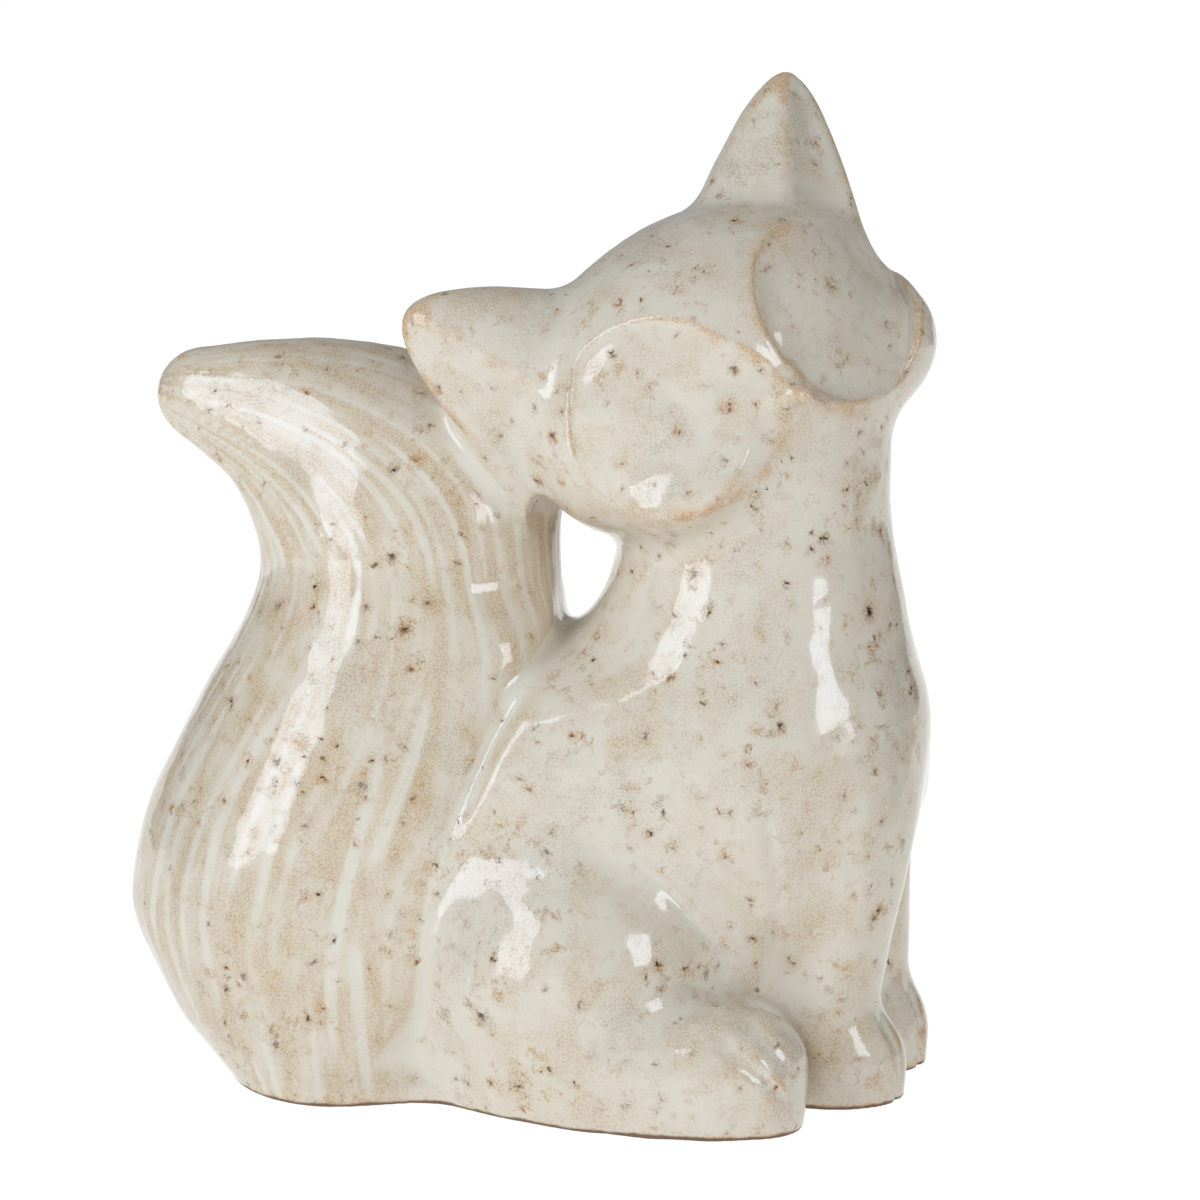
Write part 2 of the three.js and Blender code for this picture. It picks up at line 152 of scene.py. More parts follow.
# Tail: level rings of height, middle, half length and half width, the egg that closes them, then a
# swept tip of middle, height, radius, half thickness and side
TAIL = (
    (-10, -37.0, 21, 28),
    (0, -36.2, 24.6, 36.0),
    (7, -38.0, 29.0, 35.6),
    (14, -39.8, 32.8, 35.4),
    (29, -41.5, 38.2, 35.5),
    (38, -41.3, 39.2, 35.5),
    (52, -38.5, 38.9, 35),
    (64, -35.0, 36.9, 33.7),
    (76.5, -30.8, 34.7, 32),
    (89, -26.6, 31.6, 30.5),
    (98, -24.8, 30.0, 29.0),
    (104, -24.3, 29.4, 28.3),
    (110, -24.3, 29.3, 28.2),
    (116, -24.3, 29.3, 28.2),
)
TAIL_TOP, TAIL_CROWN = (-24.3, 0.0, 110.0), (29.3, 28.2, 30.0)
TAIL_THINS, THINS_ABOVE, THINS_OVER = 0.0042, 58.0, 16.0
TAIL_SQUARE, SQUARE_AHEAD, SQUARE_BELOW, SQUARE_ABOVE = 2.0, (0, 0.6), (102, 86), (8, 32)
TIP = (
    (-27, 116, 23, 20, -1),
    (-37, 124.5, 20.5, 18.5, -1),
    (-51, 130.3, 14.8, 14.5, -1),
    (-66, 134.2, 8.8, 8.8, 0),
)
TIP_FILLET = 10.0
# Combed strokes: the middle line they follow, as X, Z and the brush's half sizes there
FLOW = (
    (-34, -12, 24, 30),
    (-38, 2, 27, 31.6),
    (-41.5, 29, 38.2, 35.5),
    (-38.5, 52, 38.9, 35),
    (-31, 76, 34.7, 32),
    (-26.5, 95, 30.5, 29.5),
    (-28, 110, 28, 28),
    (-37, 122, 22, 23),
    (-51, 129.5, 16, 16),
    (-66, 133.5, 10, 10),
    (-84, 136, 6, 6),
)
STROKES, STROKE_APART = 46, 5.0
STROKE_WIDE, STROKE_DEEP = 0.95, 0.07

# Head
HEAD_TURN, HEAD_LIFT, HEAD_TILT = np.radians((58.0, 8.5, 26.0))
HEAD_AT = np.array((33.72, 0.0, 142.44))
SKULL = np.array((30.0, 41.0, 28.8))
SKULL_SQUARE, SKULL_LOW, SKULL_LEFT = (0.3, 1.6), (0.2, -0.5), (-10, 10)
CHEEKS = ((7, 30.5, -12), (13, 12.5, 12)), ((15, -18, -14), (13, 15, 9))
CHEEK_FILLET, HEAD_ROOM = 7.0, 58.0
# Cheeks' dishes: how far out the middle is, and twelve radii round it, the first towards the nose
DISH = {
    -1: (-18.7, (17.7, 15.0, 16.9, 18.7, 18.6, 17.6, 17.8, 18.2, 18.9, 18.5, 19.4, 19.2)),
    1: (20.0, (16.6, 18.4, 19.4, 18.3, 20.0, 22.0, 22.0, 19.5, 18.4, 18.5, 18.0, 16.5)),
}
DISH_FLOOR = {
    # a point of the floor, the way it faces outwards and upwards, and how it bends across and down
    -1: ((21.3, -16.9, 0.0), np.radians(32.0), np.radians(18.0), 75.0, 80.0),
    1: ((21.3, 18.2, 0.0), np.radians(20.0), np.radians(10.0), 50.0, 200.0),
}
DISH_EDGE, DISH_SOFT, DISH_FLOOR_SOFT = 1.7, 1.0, 2.0
DISH_LIP, LIP_OUT, LIP_WIDE = 0.15, 0.6, 1.2
# How deep each dish may be: at the lower rim, at the upper rim, and how much more in its middle
DISH_DEEP, DISH_LOW = {-1: (0.1, 1.0, 3.4), 1: (3.0, 3.0, 0.0)}, (-8, 4)
# Brown rims of the dishes: how wide each stain is, and the stretch over which it comes up
STAIN_WIDE, STAIN_OUT, STAIN_COMES = {-1: 1.35, 1: 1.9}, 0.3, (-8, 8)
STAIN_LEAST, STAIN_AHEAD, STAIN_NEAR = 0.05, 4.0, 46.0
SNOUT, SNOUT_FILLET = ((20.0, 0.5, -5.0, 3.2), (34.6, 1.5, -7.4, 1.6)), 6.0
EAR_LONG, EAR_THICK, EAR_SWELLS, EAR_LEAST = 31.0, 0.72, 0.017, 3.0
EAR_SCOOP, EAR_EDGE, EAR_ROOT, EAR_ROOM = 0.3, 2.0, 8.0, 38.0
EAR = {
    # root, lean, how blunt and how wide it is, which way its face looks and how far out it is cut
    -1: ((-5.5, -30.0, 13.2), np.radians(35.0), 9.0, 0.45, np.radians(48.0), 0.6),
    1: ((-4.0, 27.7, 14.2), np.radians(34.0), 6.25, 0.72, np.radians(24.0), 0.52),
}

# Fillets between pieces: the brush joins the body softly, in a crease beside it and wider at the foot
NECK_FILLET, EAR_FILLET, BRUSH_FILLET = 6.0, 4.0, 8.0
CREASE, CREASE_OUT, CREASE_BELOW = 5.5, (22, 30), (94, 84)
SPREAD, SPREAD_BELOW = 8.0, (14, 0)

# Base: the pour hole and the vent, each with its X, its radius and its hollow's half sizes
HOLES = (24.0, 12.0, (24, 20, 22)), (-40.5, 6.0, (18, 16, 22))
HOLE_TOP, HOLLOW_MIDDLE, HOLLOW_FILLET = 30.0, 32.0, 3.0
BASE_EDGE, HOLE_EDGE = 0.8, 1.2

# Camera: where it aims, its place round the fox, and how many pixels a millimetre covers there
AIM = np.array((13.0, 0.0, 95.0))
CAMERA_TURN, CAMERA_RISE, CAMERA_AWAY = np.radians(8.0), np.radians(12.0), 1300.0
PIXELS_PER_MM, PICTURE = 5.1, 1200

# Set, in metres and radiance: its lamps, the room, the floor and the dark boards beside the fox
SOFTBOXES = (
    # azimuth and elevation from the camera in degrees, width, height, glow
    ("left_softbox", -48.0, 11.0, 0.42, 0.95, 4.8),
    ("right_softbox", 44.0, 9.0, 0.28, 0.42, 6.4),
)
LAMP_COLOUR, LAMP_AWAY = (0.88, 0.97, 1.12), 1.0
ROOM_GLOW, ROOM_MIRRORED = 0.42, 0.46
FLOOR_HALF, FLOOR_PAPER, FLOOR_GLOW = 4, (0.9, 0.9, 0.9), 1.08
# How much of the floor is glow rather than paper, and how much more where it is seen or mirrored
FLOOR_WHITE, FLOOR_WHITER = 0.55, 0.38
BOARDS, BOARD_AWAY, BOARD_HALVES = (-112.0, 112.0), 0.75, (0.4, 0.5)
BOARD_COLOUR = (0.03, 0.028, 0.025)

# Glaze and felt: colours
CREAM = (0.715, 0.650, 0.531)
POOLED = (0.728, 0.674, 0.567)
TAN = (0.50, 0.33, 0.15)
SMOKE = (0.27, 0.175, 0.08)
BROKEN = (0.55, 0.31, 0.115)
RUST = (0.29, 0.10, 0.016)
CHAR = (0.09, 0.042, 0.014)
IRON = (0.05, 0.027, 0.011)
CLAY = (0.17, 0.095, 0.05)
FELT_DARK, FELT_LIGHT = (0.045, 0.03, 0.024), (0.11, 0.075, 0.055)

# Glaze: how wide its marks are, how far the surface bends at pools and rims, its gloss and its foot
STIPPLE, CLOUD, CROWD, PATCH, SMUDGE = 0.34, 9, 13, 34, 3.2
POOLS, POOL_CLEARS, RIMS = (0.03, 0.14), 0.7, (0.10, 0.45)
VEINS = 110
GLAZE_ROUGH, CLAY_ROUGHER, GLAZE_IOR, PEEL = 0.045, 0.6, 1.52, 0.09
FOOT_HEIGHT, FOOT_SOFT, FOOT_WAVES = 0.6, 0.6, 1.2
# Iron spots: millimetres between them, how rare they are, and their radius in those lengths
SPOTS = ((9.0, 0.42, 0.060), (5.5, 0.45, 0.070), (3.2, 0.60, 0.085))

# Felt pads: steps round their edge
PAD_STEPS = 96


def blend(a, b, k):
    """Union of two fields with a fillet k wide: min(a, b) - k h (1 - h), h = 1/2 + (b - a) / 2k."""
    h = np.clip(0.5 + 0.5 * (b - a) / k, 0.0, 1.0)
    return b + (a - b) * h - k * h * (1.0 - h)


def carve(a, b, k):
    """What two fields share, with its edge rounded k wide."""
    return -blend(-a, -b, k)


def ramp(t):
    """3t² - 2t³ between 0 and 1."""
    t = np.clip(t, 0.0, 1.0)
    return t * t * (3.0 - 2.0 * t)


def ease(value, start, end):
    """0 at the start, 1 at the end and 3t² - 2t³ between."""
    return ramp((value - start) / (end - start))


def between(pair, share):
    """The first of two numbers, turned to the second by a share."""
    return pair[0] + (pair[1] - pair[0]) * share


def bump(t):
    """exp(-t²)."""
    return np.exp(-t * t)


def within(p, low, high, shape):
    """A shape's field in its own box, and FAR elsewhere."""
    out = np.full(len(p), FAR)
    inside = np.all((p > low) & (p < high), axis=1)
    if inside.any():
        out[inside] = shape(p[inside])
    return out


def dropped(p, height, share=DROP):
    """Points whose depth below a height is shrunk, which draws out the bottom of a shape."""
    q = p.copy()
    q[:, 2] = height + (q[:, 2] - height) * np.where(q[:, 2] < height, share, 1.0)
    return q


def egg(p, centre, halves):
    """Ellipsoid: with q = (p - centre) / halves, |q| (|q| - 1) / |q / halves|."""
    centre, halves = np.asarray(centre, float), np.asarray(halves, float)

    def shape(p):
        q = (p - centre) / halves
        size = np.sqrt((q * q).sum(-1)) + 1e-9
        steep = np.sqrt(((q / halves) ** 2).sum(-1)) + 1e-9
        return (size - 1.0) * size / steep

    return within(p, centre - halves - REACH, centre + halves + REACH, shape)


def limb(p, stations, k=3):
    """Tapering round limb through stations of x, y, z and radius: the distance to each leg's axis
    less the radius there, blended k wide."""
    stations = np.asarray(stations, float)
    radius = stations[:, 3:] + REACH

    def shape(p):
        out = None
        for a, b in zip(stations[:-1], stations[1:]):
            axis = b[:3] - a[:3]
            t = np.clip(((p - a[:3]) @ axis) / (axis @ axis), 0, 1)
            d = np.linalg.norm(p - a[:3] - t[:, None] * axis, axis=1) - a[3] - t * (b[3] - a[3])
            out = d if out is None else blend(out, d, k)
        return out

    return within(p, (stations[:, :3] - radius).min(0), (stations[:, :3] + radius).max(0), shape)


def smooth_run(stations, steps=8):
    """Catmull-Rom curve through the stations, with the same number of steps in each span."""
    s = np.asarray(stations, float)
    s = np.vstack([s[0], s, s[-1]])
    t = (np.arange(steps) / steps)[None, :, None]
    a, b, c, d = (s[i : len(s) - 3 + i, None, :] for i in range(4))
    run = 2 * b + (c - a) * t + (2 * a - 5 * b + 4 * c - d) * t**2 + (3 * b - a - 3 * c + d) * t**3
    return np.vstack([0.5 * run.reshape(-1, s.shape[1]), s[-1]])


def ellipse(d, w, r, b):
    """Distance-like value at d, w outside an ellipse of half sizes r and b."""
    size = np.sqrt((d / r) ** 2 + (w / b) ** 2) + 1e-6
    steep = np.sqrt((d / r**2) ** 2 + (w / b**2) ** 2) / size + 1e-9
    return (size - 1.0) / np.maximum(steep, 1.0 / np.maximum(r, b))


def rounded_box(d, w, a, b, n):
    """Distance-like value outside |d / a|^n + |w / b|^n = 1."""
    d, w = np.abs(d) + 1e-6, np.abs(w) + 1e-6
    size = ((d / a) ** n + (w / b) ** n) ** (1 / n)
    steep = np.sqrt(((d / a) ** (n - 1) / a) ** 2 + ((w / b) ** (n - 1) / b) ** 2) / size ** (n - 1)
    return (size - 1.0) / np.maximum(steep, 0.8 / np.maximum(a, b))


def levels(p, stations):
    """Level rings, joined smoothly: ellipses, squarer low in front, where the brush meets the back."""
    fine = smooth_run(stations)
    x, a, b = (np.interp(p[:, 2], fine[:, 0], fine[:, i]) for i in (1, 2, 3))
    d, z = p[:, 0] - x, p[:, 2]
    squarer = ease(d / a, *SQUARE_AHEAD) * ease(z, *SQUARE_BELOW) * ease(z, *SQUARE_ABOVE)
    return rounded_box(d, p[:, 1], a, b, 2 + TAIL_SQUARE * squarer)


def squared_levels(p, stations):
    """Level rings, squarer behind than ellipses and longer there low down: |x / a|^n + |y / b|^n = 1,
    with n 2 in front."""
    fine = smooth_run(stations)
    x, a, b, n = (np.interp(p[:, 2], fine[:, 0], fine[:, i]) for i in (1, 2, 3, 4))
    n = 2 + (n - 2) * ease((p[:, 0] - x) / a, *TRUNK_ROUNDS)
    a = a * (1 + BACK_LONGER * (p[:, 0] < x) * ease(p[:, 2], *LONGER_BELOW))
    return rounded_box(p[:, 0] - x, p[:, 1], a, b, n)


def beside(x, z, a, b):
    """How far points are along a line from a to b in the XZ plane, 0 to 1, and their offset from it."""
    ax, az = b[0] - a[0], b[1] - a[1]
    t = np.clip(((x - a[0]) * ax + (z - a[1]) * az) / (ax * ax + az * az), 0, 1)
    dx, dz = x - a[0] - t * ax, z - a[1] - t * az
    return t, np.hypot(dx, dz), dx * az - dz * ax


def nearest(p, line):
    """For points beside a curve in the XZ plane: the piece of the curve, how far along it they are
    and their signed distance across it."""
    best = np.full(len(p), np.inf)
    which = np.zeros(len(p), int)
    part = np.zeros(len(p))
    across = np.zeros(len(p))
    for i, (a, b) in enumerate(zip(line[:-1], line[1:])):
        t, d, way = beside(p[:, 0], p[:, 2], a, b)
        closer = d < best
        best = np.where(closer, d, best)
        which = np.where(closer, i, which)
        part = np.where(closer, t, part)
        across = np.where(closer, np.sign(way) * d, across)
    return which, part, across


def swept(p, stations, k=1.5):
    """Discs swept along a curve in the XZ plane, blended k wide."""
    fine = smooth_run(stations, 4)
    low = (fine[:, (0, 4, 1)] - fine[:, (2, 3, 2)]).min(0) - REACH
    high = (fine[:, (0, 4, 1)] + fine[:, (2, 3, 2)]).max(0) + REACH

    def shape(p):
        out = None
        for a, b in zip(fine[:-1], fine[1:]):
            t, d, _ = beside(p[:, 0], p[:, 2], a, b)
            r, thick, side = (a[i] + t * (b[i] - a[i]) for i in (2, 3, 4))
            e = ellipse(d, p[:, 1] - side, r, thick)
            out = e if out is None else blend(out, e, k)
        return out

    return within(p, low, high, shape)


def head_axes():
    """The head's forward, left and up: turned to its right, lifted, and tilted about its nose."""
    ahead = np.array([np.cos(HEAD_TURN), -np.sin(HEAD_TURN), 0.0])
    f = np.cos(HEAD_LIFT) * ahead + np.array([0.0, 0.0, np.sin(HEAD_LIFT)])
    level = np.cross([0, 0, 1.0], f)
    level /= np.linalg.norm(level)
    left = np.cos(HEAD_TILT) * level + np.sin(HEAD_TILT) * np.cross(f, level)
    return np.array([f, left, np.cross(f, left)])


HEAD_FRAME = head_axes()


def dish_table(radii):
    """A dish's radius round its centre: the wave series that runs through its twelve radii."""
    spectrum = np.fft.rfft(radii)
    angles = np.linspace(-np.pi, np.pi, 361)
    wave = np.exp(1j * np.outer(angles, np.arange(len(spectrum))))
    weight = np.r_[1.0, np.full(len(spectrum) - 2, 2.0), 1.0] / len(radii)
    return angles, (wave * (spectrum * weight)).real.sum(-1)


def dish_inside(h, side):
    """How far inside a dish's outline a point of the head is, seen from the front, and how near it
    is to the dish's middle, as a share of the way there."""
    middle, radii = DISH[side]
    inner = -side * (h[:, 1] - middle)
    away = np.hypot(inner, h[:, 2])
    reach = np.interp(np.arctan2(h[:, 2], inner), *dish_table(radii))
    return reach - away, 1 - np.minimum(away / reach, 1)


def above_floor(h, side):
    """Height over a dish's floor, a saddle n + s² / 2r - t² / 2R that faces outwards and up."""
    point, turn, lift, across, down = DISH_FLOOR[side]
    q = h - point
    out = np.array((np.cos(turn), side * np.sin(turn), 0.0))
    face = np.cos(lift) * out + np.array((0, 0, np.sin(lift)))
    level = np.array((-out[1], out[0], 0.0))
    s, t = q @ level, q @ np.cross(face, level)
    return q @ face + s * s / (2 * across) - t * t / (2 * down)


def skull(h):
    """Egg whose lower half is squared: |y|^n + |z|^n, with n from 2 at the top to 2.3 low on its
    right and 3.6 low on its left, where the cheek stands on the neck."""
    q = np.abs(h / SKULL) + 1e-9
    n = 2.0 + ease(h[:, 2] / SKULL[2], *SKULL_LOW) * between(SKULL_SQUARE, ease(h[:, 1], *SKULL_LEFT))
    size = np.sqrt(q[:, 0] ** 2 + (q[:, 1] ** n + q[:, 2] ** n) ** (2 / n))
    return np.linalg.norm(h, axis=1) * (size - 1.0) / size


def head(p):
    """Skull, cheeks and snout, with a dish pressed into each cheek and a low lip round it. A dish is
    where a point is inside its outline and above its floor, and no deeper than w + m (1 - (1 - s)²),
    with w the rim's depth, m what the middle adds and s the share of the way to the middle."""

    def shape(p):
        h = (p - HEAD_AT) @ HEAD_FRAME.T
        f = skull(h)
        for centre, halves in CHEEKS:
            f = blend(f, egg(h, centre, halves), CHEEK_FILLET)
        for side in SIDES:
            g, share = dish_inside(h, side)
            f = f - np.where(h[:, 0] > 0, DISH_LIP, 0) * bump((g + LIP_OUT) / LIP_WIDE)
            *rim, middle = DISH_DEEP[side]
            deepest = f + between(rim, ease(h[:, 2], *DISH_LOW)) + middle * (1 - (1 - share) ** 2)
            floor = blend(above_floor(h, side), deepest, DISH_FLOOR_SOFT)
            f = carve(f, blend(g, floor, DISH_SOFT), DISH_EDGE)
        return blend(f, limb(h, SNOUT), SNOUT_FILLET)

    return within(p, HEAD_AT - HEAD_ROOM, HEAD_AT + HEAD_ROOM, shape)


def ear(p, side):
    """Leaf-shaped ear, at d from its tip half as wide as the root of s d + t d^1.5 + 0.017 d², with
    a scooped face cut across its front that looks forwards and outwards."""
    root, lean, blunt, wide, turn, cut = EAR[side]
    along = np.array([0, side * np.sin(lean), np.cos(lean)])
    across = np.array([0, side * np.cos(lean), -np.sin(lean)])
    middle = HEAD_AT + (np.array(root) + along * EAR_LONG * 0.5) @ HEAD_FRAME
    turn_cos, turn_sin = np.cos(turn), np.sin(turn)

    def shape(p):
        q = (p - HEAD_AT) @ HEAD_FRAME.T - root
        d = EAR_LONG - q @ along
        b = q @ across
        c = q[:, 0]
        out = np.maximum(d, 0)
        w2 = blunt * d + wide * out**1.5 + EAR_SWELLS * out**2
        w = np.sqrt(np.maximum(w2, EAR_LEAST**2))
        f = (b * b + (c / EAR_THICK) ** 2 - w2) / (2 * w)
        f = np.maximum(f, q @ -along - EAR_ROOT)
        face = c * turn_cos + b * turn_sin - cut * w
        off = (b * turn_cos - c * turn_sin) / w
        return carve(f, face - EAR_SCOOP * w * off**2, EAR_EDGE)

    return within(p, middle - EAR_ROOM, middle + EAR_ROOM, shape)


def haunch(p, side):
    """Egg-shaped haunch, and the hind foot in front of it."""
    x, y, z = HAUNCH
    egg_shape = egg(dropped(p, z, HAUNCH_DROP), (x, side * y, z), HAUNCH_HALVES)
    stations = [(x, side * y, z, r) for x, y, z, r in HIND_FOOT]
    foot = limb(dropped(p, HIND_FOOT_MIDDLE), stations)
    return blend(egg_shape, foot, between(FOOT_FILLET, ease(p[:, 0], *FOOT_FRONT)))


def foreleg(p, side):
    """Foreleg of level round rings, its elbow, and its paw as an egg; the left one stands ahead."""
    x, y, z = PAW[side]
    rings = smooth_run(FORELEG[side])

    def shape(p):
        cx, cy, r = (np.interp(p[:, 2], rings[:, 0], rings[:, i]) for i in (1, 2, 3))
        ring = np.hypot(p[:, 0] - cx, p[:, 1] - side * cy) - r
        return carve(ring, p[:, 2] - FORELEG_TOP, FORELEG_TOP_SOFT)

    leg = within(p, *FORELEG_ROOM, shape)
    ex, ey, ez = ELBOW
    leg = blend(leg, egg(p, (ex, side * ey, ez), ELBOW_HALVES), ELBOW_FILLET)
    return blend(leg, egg(dropped(p, z), (x, side * y, z), PAW_HALVES), PAW_FILLET)


def torso(p):
    """Trunk that narrows to the breast and is cut off along the back's edge, with the haunches, hind
    feet and forelegs. Each joins softly above and behind, and more sharply in front or low down."""
    x, z = p[:, 0], p[:, 2]
    q = p.copy()
    q[:, 1] *= 1 + BREAST_NARROWS * ease(x, *NARROWS_AHEAD) * ease(z, *NARROWS_BELOW)
    f = np.maximum(squared_levels(q, TRUNK), z - TRUNK_TOP)
    fillet = between(HAUNCH_FILLET, ease(x, *HAUNCH_FRONT))
    for side in SIDES:
        f = blend(f, haunch(p, side), fillet)
    edge = np.interp(z, *np.array(BACK, float).T)
    out = np.abs(p[:, 1]) - BACK_OUT
    f = carve(f, (edge - x) * np.cos(BACK_TURN) + out * np.sin(BACK_TURN), BACK_EDGE)
    fillet = between(FORELEG_FILLET, ease(z, *SHOULDER))
    for side in SIDES:
        f = blend(f, foreleg(p, side), fillet)
    return f


def flow(p):
    """The combed lines' own coordinates on the tail: the angle round its curved middle line, as
    turns, and the length along it."""
    line = smooth_run(FLOW, 6)
    length = np.r_[0, np.cumsum(np.hypot(*np.diff(line[:, :2], axis=0).T))]
    which, part, across = nearest(p, line)
    a, b = (line[which, i] + part * (line[which + 1, i] - line[which, i]) for i in (2, 3))
    along = length[which] + part * (length[which + 1] - length[which])
    return np.arctan2(p[:, 1] / b, across / a) / (2 * np.pi), along


def chance(n, salt):
    """A fixed number from 0 to 1 for each whole number n: what follows the point in 43758.5 times
    the sine of 13 n + 78.2 salt."""
    return np.mod(np.sin(n * 12.9898 + salt * 78.233) * 43758.5453, 1.0)


def lips(p):
    """How near points are to a dish's rim, 0 to 1, and less on the side away from the nose and high
    on the right cheek."""
    h = (p - HEAD_AT) @ HEAD_FRAME.T
    out = np.zeros(len(p))
    for side in SIDES:
        inner = -side * (h[:, 1] - DISH[side][0])
        low = -h[:, 2] if side < 0 else 0.2 * h[:, 2]
        share = between((STAIN_LEAST, 1), ease(inner + low, *STAIN_COMES))
        g, _ = dish_inside(h, side)
        out = np.maximum(out, share * bump((g + STAIN_OUT) / STAIN_WIDE[side]))
    return out * (h[:, 0] > STAIN_AHEAD) * (np.linalg.norm(h, axis=1) < STAIN_NEAR)


def combing(p):
    """Depth, 0 to 1, of the strokes combed into the tail: one bell-shaped groove for each stroke
    round it, that wanders, fades and starts again along its length."""
    turn, along = flow(p)
    lane = turn * STROKES + 0.25 * np.sin(along / 23)
    number = np.round(lane)
    stroke = np.mod(number, STROKES)
    wander = 0.16 * np.sin(along / (9 + 8 * chance(stroke, 1)) + 40 * chance(stroke, 2))
    wave = np.sin(along / (7 + 9 * chance(stroke, 3)) + 40 * chance(stroke, 4))
    wide = STROKE_WIDE * (0.7 + 0.6 * chance(stroke, 5)) / STROKE_APART
    strong = ramp(0.75 + 0.8 * wave) * (0.35 + 0.65 * chance(stroke, 6))
    return strong * bump((lane - number - wander) / wide)


def relief(p):
    """The hand's slight unevenness: products of sines about 30 and 10 long, 0.16 and 0.03 deep."""
    x, y, z = p.T
    slow = np.sin(x / 4.1 + 1.3 * np.sin(z / 7.3)) * np.sin(y / 4.7 + 0.8)
    slow = slow * np.sin(z / 5.2 + 0.4 + np.sin(x / 6.1))
    quick = np.sin(x / 1.6 + 2 * np.sin(y / 3.1)) * np.sin(z / 1.45 + 1.1) * np.sin(y / 1.7 + 0.3)
    return 0.16 * slow + 0.03 * quick


def grooved(p):
    """Depth of the tool's strokes: bell-shaped across, on the flanks, and between the toes."""
    x, y, z = p.T
    depth = np.zeros(len(p))
    outside = np.abs(y) > GROOVES_OUT
    q = p[outside]
    for deep, wide, path in GROOVES:
        line = np.array(path)
        which, part, across = nearest(q, line)
        ends = np.minimum(which + part, len(line) - 1 - which - part)
        depth[outside] = np.maximum(depth[outside], deep * ramp(1.4 * ends) * bump(across / wide))
    for side in SIDES:
        px, py = PAW[side][:2]
        faded = TOE_DEEP * ease(x - px, *TOE_AHEAD) * ease(z, *TOE_BELOW)
        for way in SIDES:
            off = (y - side * py - way * TOE_APART) / TOE_WIDE
            depth = np.maximum(depth, faded * bump(off))
    return depth


def tail(p, fine=False):
    """Brush: level rings closed by an egg, with its tip swept backwards, and combed strokes."""
    p = p.copy()
    rise = np.maximum(p[:, 2] - THINS_ABOVE, 0)
    p[:, 1] *= 1 + TAIL_THINS * rise**2 / (rise + THINS_OVER)
    f = np.where(p[:, 2] > TAIL_TOP[2], egg(p, TAIL_TOP, TAIL_CROWN), levels(p, TAIL))
    f = blend(f, swept(p, TIP), TIP_FILLET)
    if fine:
        near = np.abs(f) < FINE_REACH
        f[near] += STROKE_DEEP * combing(p[near])
    return f


def hollow(p):
    """The pour hole and the vent, each opening into a hollow."""
    out = np.full(len(p), FAR)
    for x, radius, halves in HOLES:
        hole = np.maximum(np.hypot(p[:, 0] - x, p[:, 1]) - radius, p[:, 2] - HOLE_TOP)
        out = np.minimum(out, blend(hole, egg(p, (x, 0, HOLLOW_MIDDLE), halves), HOLLOW_FILLET))
    return out


def fox(p, fine=False):
    """The whole figurine's field, and the field of each piece."""
    parts = np.stack([torso(p), head(p), ear(p, -1), ear(p, 1), tail(p, fine)])
    body, skull_piece, right, left, brush = parts
    f = blend(body, skull_piece, NECK_FILLET)
    f = blend(blend(f, right, EAR_FILLET), left, EAR_FILLET)
    crease = CREASE * ease(np.abs(p[:, 1]), *CREASE_OUT) * ease(p[:, 2], *CREASE_BELOW)
    f = blend(f, brush, BRUSH_FILLET - crease + SPREAD * ease(p[:, 2], *SPREAD_BELOW))
    if fine:
        near = np.abs(f) < FINE_REACH
        f[near] += grooved(p[near]) + relief(p[near])
    f = carve(f, -p[:, 2], BASE_EDGE)
    return carve(f, -hollow(p), HOLE_EDGE), parts


def batches(p, work, axis=-1, size=400000):
    """Runs the work on the points a batch at a time, and joins the results along an axis."""
    results = [work(p[i : i + size]) for i in range(0, len(p), size)]
    return tuple(np.concatenate(part, axis=axis) for part in zip(*results))


def edges(grid, axis):
    """What a grid holds at the start and at the end of each of its edges along an axis."""
    size = grid.shape[axis]
    return grid.take(range(size - 1), axis), grid.take(range(1, size), axis)


def corners(grid, merge):
    """Merges the eight corners of each cube of a grid into one value."""
    for axis in range(3):
        grid = merge(*edges(grid, axis))
    return grid


def spread(mask):
    """Grows a mask by one cube every way."""
    padded = np.pad(mask, 1)
    for axis in range(3):
        padded = padded | np.roll(padded, 1, axis) | np.roll(padded, -1, axis)
    return padded[1:-1, 1:-1, 1:-1]


def filled(whole, parts):
    """Which piece fills each point: 0 outside, else 1 more than the piece whose field is lowest."""
    return np.where(whole > 0, 0, 1 + parts.argmin(0))


def fill_grid(low, high, cell):
    """What fills each corner of a grid. It is worked out on coarse blocks, and then corner by corner
    in those near a surface. Gives also each worked corner's number and the fields there."""
    coarse_cell = cell * BLOCK
    blocks = np.ceil((high - low) / coarse_cell).astype(int)
    coarse = np.stack(np.meshgrid(*(np.arange(n + 1) for n in blocks), indexing="ij"), -1)
    whole, parts = batches(low + coarse_cell * coarse.reshape(-1, 3), fox)
    rough = filled(whole, parts).reshape(coarse.shape[:3]).astype(np.int8)
    close = corners(np.abs(whole).reshape(rough.shape), np.minimum) < 0.9 * coarse_cell
    mixed = corners(rough, np.maximum) != corners(rough, np.minimum)
    near = spread(mixed) | close
    for axis in range(3):
        near = near.repeat(BLOCK, axis)
    touched = np.zeros(tuple(blocks * BLOCK + 1), bool)
    for corner in np.ndindex(2, 2, 2):
        touched[tuple(slice(i, i + n) for i, n in zip(corner, near.shape))] |= near
    pick = [np.rint(np.arange(size) / BLOCK).astype(int) for size in touched.shape]
    label = rough[np.ix_(*pick)]
    index = np.argwhere(touched)
    whole, parts = batches(low + cell * index, fox)
    label[touched] = filled(whole, parts)
    number = np.full(touched.shape, -1, np.int32)
    number[touched] = np.arange(len(index))
    return label, number, whole, parts


